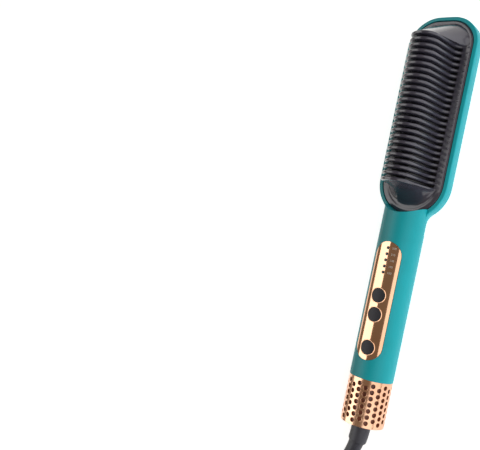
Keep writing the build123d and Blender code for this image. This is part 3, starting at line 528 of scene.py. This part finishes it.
def tip_point(share, inset):
    """A point of the tip's outline, from its middle round one corner to the head's side."""
    corner = TIP_CORNER - inset
    flat = HEAD_HALF - inset - corner
    along = share * (flat + corner * math.pi / 2)
    if along < flat:
        return TIP_X - inset, along
    angle = (along - flat) / corner
    return TIP_X - inset - corner + corner * math.cos(angle), flat + corner * math.sin(angle)


def slope_crest():
    """The outline that a slope starts from, and the distance along it to each of its points."""
    crest = arch_outline(SLOPE_FOOT, SLOPE_INSET, SLOPE_FILLET, SLOPE_ROOT_Z)
    lengths = [0.0]
    for before, after in zip(crest, crest[1:]):
        lengths.append(lengths[-1] + (after - before).length)
    return crest, lengths


def ramp():
    """The wide slope from the first fin down to the border round the tip."""
    crest, lengths = slope_crest()
    middle = lengths[len(crest) // 2]
    loops = []
    for step in range(RAMP_STEPS + 1):
        share = step / RAMP_STEPS
        loop = []
        for point, length in zip(crest, lengths):
            reach = abs(length - middle) / middle
            tip_x, tip_y = tip_point(reach ** RAMP_SPREAD, RAMP_INSET)
            side = math.copysign(1.0, point.x - FIN_LEAN)
            hollow = RAMP_HOLLOW * math.sin(math.pi * share) * (point.y - RIM_Z) / (FIN_TOP - RIM_Z)
            low_z = min(point.y, RAMP_END_Z)
            loop.append(
                (
                    RAMP_START_X + (tip_x - RAMP_START_X) * share,
                    point.x + (side * tip_y - point.x) * share,
                    point.y + (low_z - point.y) * share - hollow,
                )
            )
        loops.append(loop)
    return rings(loops)


# Each station of the lip: distance from the centre of the head's round end, and rise above its foot
LIP_PROFILE = [(17.2, 0.1), (17.8, 0.3), (18.4, 0.45), (19.0, 0.45), (19.6, 0.35), (20.2, 0.18), (20.7, 0.02)]


def lip_point(turn, radius, rise):
    """A point of the low lip, which dies out towards its two ends."""
    angle = math.radians(turn)
    fade = 1 - (abs(turn) / SCOOP_TURN) ** LIP_FADE
    return Vector(
        (
            HEAD_ROUND_X - radius * math.cos(angle),
            -radius * math.sin(angle),
            LIP_BASE_Z + rise * fade,
        )
    )


def scoop():
    """The smooth hollow from the end wall down to the lip on the side of the handle."""
    crest, lengths = slope_crest()
    turns = [SCOOP_TURN * (2 * length / lengths[-1] - 1) for length in lengths]
    loops = []
    for step in range(SCOOP_STEPS + 1):
        angle = math.pi / 2 * step / SCOOP_STEPS
        across, drop = 1 - math.cos(angle), math.sin(angle)
        loop = []
        for point, turn in zip(crest, turns):
            base = lip_point(turn, *LIP_PROFILE[0])
            top = Vector((SCOOP_TOP_X, point.x, point.y))
            loop.append(
                (
                    top.x + (base.x - top.x) * across,
                    top.y + (base.y - top.y) * across,
                    top.z + (base.z - top.z) * drop,
                )
            )
        loops.append(loop)
    for station in LIP_PROFILE[1:]:
        loops.append([tuple(lip_point(turn, *station)) for turn in turns])
    front = [(SCOOP_FRONT_X, y, z) for _, y, z in loops[0]]
    return rings([front, *loops])


fin_xs = [FIRST_FIN_X - FIN_PITCH * step for step in range(FIN_COUNT)]
end_wall = fin(END_WALL_X - END_WALL_THICKNESS / 2, END_WALL_THICKNESS)
comb_parts = [border(), ramp(), scoop(), end_wall]
comb_parts += [fin(x) for x in fin_xs]
comb_parts += [nub(x, side * NUB_Y) for x in fin_xs for side in (-1, 1)]
comb = mesh_object("comb", *gather(comb_parts))
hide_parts("comb_cover")
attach(comb, "brush")
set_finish(comb, "comb")

# Perforated collar


def collar_mesh():
    """A rolled sheet with staggered round holes, as quads that all meet at shared corners."""
    column_angle = 2 * math.pi / COLLAR_COLUMNS
    width = COLLAR_RADIUS * column_angle
    margin = (COLLAR_LENGTH - HOLE_ROWS * HOLE_PITCH) / 2
    points, faces = [], []

    def at(along, across):
        angle = across / COLLAR_RADIUS
        points.append(
            (
                TAIL_X + along,
                COLLAR_RADIUS * math.sin(angle),
                AXIS_Z + COLLAR_RADIUS * math.cos(angle),
            )
        )
        return len(points) - 1

    def plain(start, end, left):
        for step in range(CELL_STEPS):
            low = left + width * step / CELL_STEPS
            high = left + width * (step + 1) / CELL_STEPS
            faces.append((at(start, low), at(end, low), at(end, high), at(start, high)))

    def cell(start, left):
        edge_points = []
        for step in range(CELL_STEPS):
            edge_points.append((start, left + width * step / CELL_STEPS))
        for step in range(CELL_STEPS):
            edge_points.append((start + HOLE_PITCH * step / CELL_STEPS, left + width))
        for step in range(CELL_STEPS, 0, -1):
            edge_points.append((start + HOLE_PITCH, left + width * step / CELL_STEPS))
        for step in range(CELL_STEPS, 0, -1):
            edge_points.append((start + HOLE_PITCH * step / CELL_STEPS, left))
        middle_x = start + HOLE_PITCH / 2
        middle_y = left + width / 2
        outer = [at(*point) for point in edge_points]
        inner = []
        for step in range(HOLE_STEPS):
            angle = 2 * math.pi / HOLE_STEPS * step - math.pi * 3 / 4
            along = middle_x + HOLE_RADIUS * math.cos(angle)
            across = middle_y + HOLE_RADIUS * math.sin(angle)
            inner.append(at(along, across))
        return outer, inner

    for column in range(COLLAR_COLUMNS):
        left = (column - 0.5) * width
        odd = column % 2
        plain(0.0, margin, left)
        plain(COLLAR_LENGTH - margin, COLLAR_LENGTH, left)
        start = margin
        if odd:
            for near in (margin, COLLAR_LENGTH - margin - HOLE_PITCH / 2):
                plain(near, near + HOLE_PITCH / 4, left)
                plain(near + HOLE_PITCH / 4, near + HOLE_PITCH / 2, left)
            start += HOLE_PITCH / 2
        for row in range(HOLE_ROWS - odd):
            outer, inner = cell(start + row * HOLE_PITCH, left)
            for step in range(HOLE_STEPS):
                after = (step + 1) % HOLE_STEPS
                faces.append((outer[step], outer[after], inner[-after], inner[-step]))
    return points, faces


collar = mesh_object("collar", *collar_mesh())
wall = collar.modifiers.new("wall", "SOLIDIFY")
wall.thickness = COLLAR_WALL * MM
wall.offset = -1.0
bevel(collar, COLLAR_BEVEL, COLLAR_BEVEL_ANGLE)
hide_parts("tail_collar")
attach(collar, "brush")
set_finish(collar, "collar")

# Casing, trim and buttons, with softened edges
back = refined("shell_back", "back_shell", width=0.12)
front = refined("shell_front", "front_shell", width=0.2)
trim = refined("trim", "control_panel", width=0.35)
for piece, slot_name in ((back, "shell"), (front, "shell"), (trim, "trim")):
    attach(piece, "brush")
    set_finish(piece, slot_name)
for key in ("plus", "minus", "power"):
    button = refined(f"{key}_cap", f"{key}_button", width=0.3)
    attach(button, f"{key}_key")
    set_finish(button, "button")


# On the trim: rims round the buttons, lenses over the lights and their numbers


def on_panel(x, across, rise=0.0):
    """A point on the trim's curved face, or a little above it."""
    radius = PANEL_RADIUS + rise
    angle = across / PANEL_RADIUS
    return x, radius * math.sin(angle), AXIS_Z + radius * math.cos(angle)


def circle_point(x, radius, rise, turn):
    """A point of a circle on the trim, centred on the trim's middle line."""
    return on_panel(x + radius * math.cos(turn), radius * math.sin(turn), rise)


def button_rim(x):
    """A thin raised rim that follows the trim round one button."""
    loops = []
    for step in range(RIM_STEPS):
        turn = 2 * math.pi * step / RIM_STEPS
        loop = []
        for corner in range(RIM_TUBE_STEPS):
            around = 2 * math.pi * corner / RIM_TUBE_STEPS
            reach = RIM_RADIUS + RIM_TUBE * math.cos(around)
            loop.append(circle_point(x, reach, RIM_TUBE * math.sin(around), turn))
        loops.append(loop)
    loops.append(loops[0])
    return rings(loops, caps=False)


# Each station of a lens: share of its radius, and rise above the trim
LENS_PROFILE = [(1.0, -0.3), (1.0, 0.03), (0.85, 0.12), (0.4, 0.18)]


def lens(x):
    """A low dark dome over one light."""
    turns = [2 * math.pi * step / LENS_STEPS for step in range(LENS_STEPS)]
    return rings(
        [
            [circle_point(x, share * LENS_RADIUS, rise, turn) for turn in turns]
            for share, rise in LENS_PROFILE
        ]
    )


def number(text, x):
    """Flat digits on the trim beside one light, upright when the brush stands on its cord."""
    font = bpy.data.curves.new("digits", "FONT")
    font.body = text
    font.align_x = "CENTER"
    font.align_y = "CENTER"
    font.size = NUMBER_HEIGHT
    font.extrude = NUMBER_DEPTH
    font.resolution_u = 3
    holder = bpy.data.objects.new("digits", font)
    mesh = bpy.data.meshes.new_from_object(holder)
    flat = [vertex.co for vertex in mesh.vertices]
    points = [on_panel(x + place.y, NUMBER_Y - place.x, NUMBER_RISE + place.z) for place in flat]
    faces = [tuple(face.vertices) for face in mesh.polygons]
    bpy.data.objects.remove(holder)
    bpy.data.curves.remove(font)
    bpy.data.meshes.remove(mesh)
    return points, faces


light_xs = [FIRST_LIGHT_X - LIGHT_PITCH * step for step in range(len(NUMBERS))]
rims = mesh_object("button_rims", *gather([button_rim(x) for x in BUTTON_XS]))
lenses = mesh_object("light_lenses", *gather([lens(x) for x in light_xs]))
numbers = mesh_object("numbers", *gather([number(text, x) for text, x in zip(NUMBERS, light_xs)]))
for piece, slot_name in ((rims, "trim"), (lenses, "lamp"), (numbers, "trim")):
    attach(piece, "brush")
    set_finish(piece, slot_name)

# Floor, in metres
FLOOR_HALF = 3.0
floor_corners = [(FLOOR_HALF * x, FLOOR_HALF * y, 0.0) for x, y in ((-1, -1), (1, -1), (1, 1), (-1, 1))]
floor_mesh = bpy.data.meshes.new("floor")
floor_mesh.from_pydata(floor_corners, [], [(0, 1, 2, 3)])
floor = bpy.data.objects.new("floor", floor_mesh)
bpy.context.scene.collection.objects.link(floor)
floor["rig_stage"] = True


# Materials


def material(
    name,
    dark,
    light,
    rough,
    rough_spread=0.05,
    metallic=0.0,
    grain=0.0,
    grain_scale=1800.0,
    blotch_scale=40.0,
    coat=0.0,
    coat_rough=0.1,
    specular=0.5,
    sheen=0.0,
    brushed=None,
):
    """A surface with a slow change of colour and gloss, and a fine grain."""
    made = bpy.data.materials.new(name)
    made.use_nodes = True
    nodes, links = made.node_tree.nodes, made.node_tree.links
    shader = nodes["Principled BSDF"]
    shader.inputs["Metallic"].default_value = metallic
    shader.inputs["Specular IOR Level"].default_value = specular
    shader.inputs["Coat Weight"].default_value = coat
    shader.inputs["Coat Roughness"].default_value = coat_rough
    shader.inputs["Sheen Weight"].default_value = sheen
    place = nodes.new("ShaderNodeTexCoord")
    blotch = nodes.new("ShaderNodeTexNoise")
    blotch.inputs["Scale"].default_value = blotch_scale
    blotch.inputs["Detail"].default_value = 4.0
    links.new(place.outputs["Object"], blotch.inputs["Vector"])
    colours = nodes.new("ShaderNodeValToRGB")
    colours.color_ramp.elements[0].position = 0.35
    colours.color_ramp.elements[0].color = (*dark, 1.0)
    colours.color_ramp.elements[1].position = 0.65
    colours.color_ramp.elements[1].color = (*light, 1.0)
    links.new(blotch.outputs["Fac"], colours.inputs["Fac"])
    links.new(colours.outputs["Color"], shader.inputs["Base Color"])
    gloss = nodes.new("ShaderNodeMapRange")
    gloss.inputs["To Min"].default_value = max(0.02, rough - rough_spread)
    gloss.inputs["To Max"].default_value = rough + rough_spread
    links.new(blotch.outputs["Fac"], gloss.inputs["Value"])
    links.new(gloss.outputs["Result"], shader.inputs["Roughness"])
    if grain:
        fine = nodes.new("ShaderNodeTexNoise")
        fine.inputs["Scale"].default_value = grain_scale
        fine.inputs["Detail"].default_value = 2.0
        if brushed:
            stretch = nodes.new("ShaderNodeMapping")
            stretch.inputs["Scale"].default_value = brushed
            links.new(place.outputs["Object"], stretch.inputs["Vector"])
            links.new(stretch.outputs["Vector"], fine.inputs["Vector"])
        else:
            links.new(place.outputs["Object"], fine.inputs["Vector"])
        bump = nodes.new("ShaderNodeBump")
        bump.inputs["Strength"].default_value = 1.0
        bump.inputs["Distance"].default_value = grain * MM
        links.new(fine.outputs["Fac"], bump.inputs["Height"])
        links.new(bump.outputs["Normal"], shader.inputs["Normal"])
    return made


MATERIALS = {
    "shell": material(
        "satin_teal", (0.003, 0.42, 0.49), (0.004, 0.46, 0.54), 0.45, grain=0.002, specular=0.28
    ),
    "comb": material(
        "comb_plastic", (0.054, 0.053, 0.078), (0.066, 0.065, 0.094), 0.2,
        rough_spread=0.03, grain=0.001, coat=0.5, coat_rough=0.06,
    ),
    "plate": material("plate_coating", (0.006, 0.006, 0.008), (0.012, 0.011, 0.014), 0.4, grain=0.01),
    "ceramic": material("ceramic", (0.72, 0.72, 0.68), (0.82, 0.82, 0.78), 0.4),
    "sheet": material("amber_film", (0.55, 0.3, 0.04), (0.68, 0.4, 0.07), 0.35),
    "steel": material("zinc_steel", (0.5, 0.5, 0.52), (0.62, 0.62, 0.64), 0.3, metallic=1.0),
    "carrier": material("carrier_plastic", (0.03, 0.03, 0.03), (0.05, 0.05, 0.05), 0.55, grain=0.01),
    "fuse": material("tinned", (0.6, 0.6, 0.6), (0.7, 0.7, 0.7), 0.3, metallic=1.0),
    "bead": material("glass_bead", (0.4, 0.18, 0.05), (0.5, 0.25, 0.08), 0.15),
    "lead": material("wire_cover", (0.55, 0.55, 0.52), (0.66, 0.66, 0.62), 0.5),
    "trim": material(
        "rose_gold_trim", (0.80, 0.47, 0.29), (0.86, 0.53, 0.34), 0.1, rough_spread=0.02, metallic=1.0
    ),
    "button": material(
        "button_plastic", (0.026, 0.026, 0.034), (0.034, 0.034, 0.044), 0.5, grain=0.006, specular=0.25
    ),
    "plunger": material("plunger_plastic", (0.6, 0.58, 0.52), (0.7, 0.68, 0.62), 0.5),
    "component": material("component", (0.02, 0.02, 0.02), (0.03, 0.03, 0.03), 0.5),
    "board": material("solder_mask", (0.02, 0.14, 0.05), (0.03, 0.18, 0.07), 0.35),
    "lamp": material("lamp_window", (0.02, 0.02, 0.025), (0.035, 0.035, 0.04), 0.15),
    "capacitor": material("capacitor", (0.55, 0.3, 0.05), (0.65, 0.38, 0.07), 0.3),
    "terminal": material("terminal", (0.06, 0.22, 0.08), (0.08, 0.28, 0.1), 0.45),
    "collar": material(
        "rose_gold_collar", (0.82, 0.47, 0.30), (0.88, 0.54, 0.36), 0.2,
        rough_spread=0.04, metallic=1.0, grain=0.004, grain_scale=900.0, brushed=(0.15, 4.0, 4.0),
    ),
    "core": material("core_plastic", (0.010, 0.008, 0.008), (0.018, 0.015, 0.015), 0.45, grain=0.01),
    "contact": material("contact_brass", (0.6, 0.42, 0.14), (0.72, 0.52, 0.2), 0.25, metallic=1.0),
    "boot": material(
        "boot_rubber", (0.032, 0.034, 0.050), (0.044, 0.046, 0.064), 0.5, grain=0.02, grain_scale=1400.0
    ),
    "cord": material(
        "cord_rubber", (0.020, 0.020, 0.026), (0.03, 0.03, 0.037), 0.48, grain=0.02, grain_scale=1400.0
    ),
    "tie": material(
        "tie_weave", (0.012, 0.012, 0.013), (0.02, 0.02, 0.022), 0.75,
        grain=0.08, grain_scale=900.0, sheen=0.3,
    ),
    "plug": material(
        "plug_rubber", (0.020, 0.020, 0.025), (0.03, 0.03, 0.035), 0.5, grain=0.02, grain_scale=1400.0
    ),
    "pin": material("nickel", (0.6, 0.58, 0.54), (0.7, 0.68, 0.63), 0.22, metallic=1.0),
}
slots = {entry["node"]: entry["material_slot"] for entry in frame["record"]["subparts"]}
for name, node in frame["nodes"].items():
    node.data.materials.clear()
    node.data.materials.append(MATERIALS[slots[name]])
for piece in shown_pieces():
    if piece.get("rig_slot"):
        piece.data.materials.clear()
        piece.data.materials.append(MATERIALS[piece["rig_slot"]])

# Two pieces whose material isn't that of their slot, and the floor; the core's brown is a painted reflection
# of the gold collar seen through its holes
PRINT_DARK = (0.62, 0.60, 0.56)
PRINT_LIGHT = (0.72, 0.70, 0.66)
numbers.data.materials[0] = material("printed_paint", PRINT_DARK, PRINT_LIGHT, 0.45)
# Painted reflection: the dark plastic core is coloured brown to stand for the gold hole walls mirrored in the
# holes
CORE_REFLECTION_DARK = (0.13, 0.035, 0.015)
CORE_REFLECTION_LIGHT = (0.18, 0.055, 0.025)
core = frame["nodes"]["collar_core"]
core.data.materials[0] = material("core_painted_reflection", CORE_REFLECTION_DARK, CORE_REFLECTION_LIGHT, 0.4)
FLOOR_DARK = (0.86, 0.86, 0.86)
FLOOR_LIGHT = (0.88, 0.88, 0.88)
FLOOR_GLOW = 0.75
floor_material = material("floor_paint", FLOOR_DARK, FLOOR_LIGHT, 0.35, blotch_scale=3.0)
floor_shader = floor_material.node_tree.nodes["Principled BSDF"]
floor_shader.inputs["Emission Color"].default_value = (1.0, 1.0, 1.0, 1.0)
floor_shader.inputs["Emission Strength"].default_value = FLOOR_GLOW
floor.data.materials.append(floor_material)

# Light: a dim warm surround, a soft light on one side and a card for reflections on the other
AIR_COLOUR = (1.0, 0.82, 0.64, 1.0)
AIR_STRENGTH = 0.2
world = bpy.data.worlds.new("studio")
bpy.context.scene.world = world
world.use_nodes = True
air = world.node_tree.nodes["Background"]
air.inputs["Color"].default_value = AIR_COLOUR
air.inputs["Strength"].default_value = AIR_STRENGTH


def area_light(name, place, target, size, power, diffuse=True):
    """A soft oblong light that points at a target, with places and sizes in metres."""
    data = bpy.data.lights.new(name, "AREA")
    data.shape = "RECTANGLE"
    data.size, data.size_y = size
    data.energy = power
    lamp = bpy.data.objects.new(name, data)
    aim = (Vector(target) - Vector(place)).to_track_quat("-Z", "Y")
    lamp.matrix_world = Matrix.Translation(place) @ aim.to_matrix().to_4x4()
    lamp.visible_diffuse = diffuse
    lamp.visible_camera = False
    bpy.context.scene.collection.objects.link(lamp)


area_light("window", place=(0.0, -1.18, 0.75), target=(0.0, 0.0, 0.02), size=(3.0, 1.4), power=16.0)
area_light(
    "card", place=(0.0, 0.97, 1.0), target=(0.0, 0.0, 0.03), size=(3.0, 1.3), power=25.0, diffuse=False
)
bpy.context.scene.view_settings.view_transform = "Standard"

bpy.context.view_layer.update()
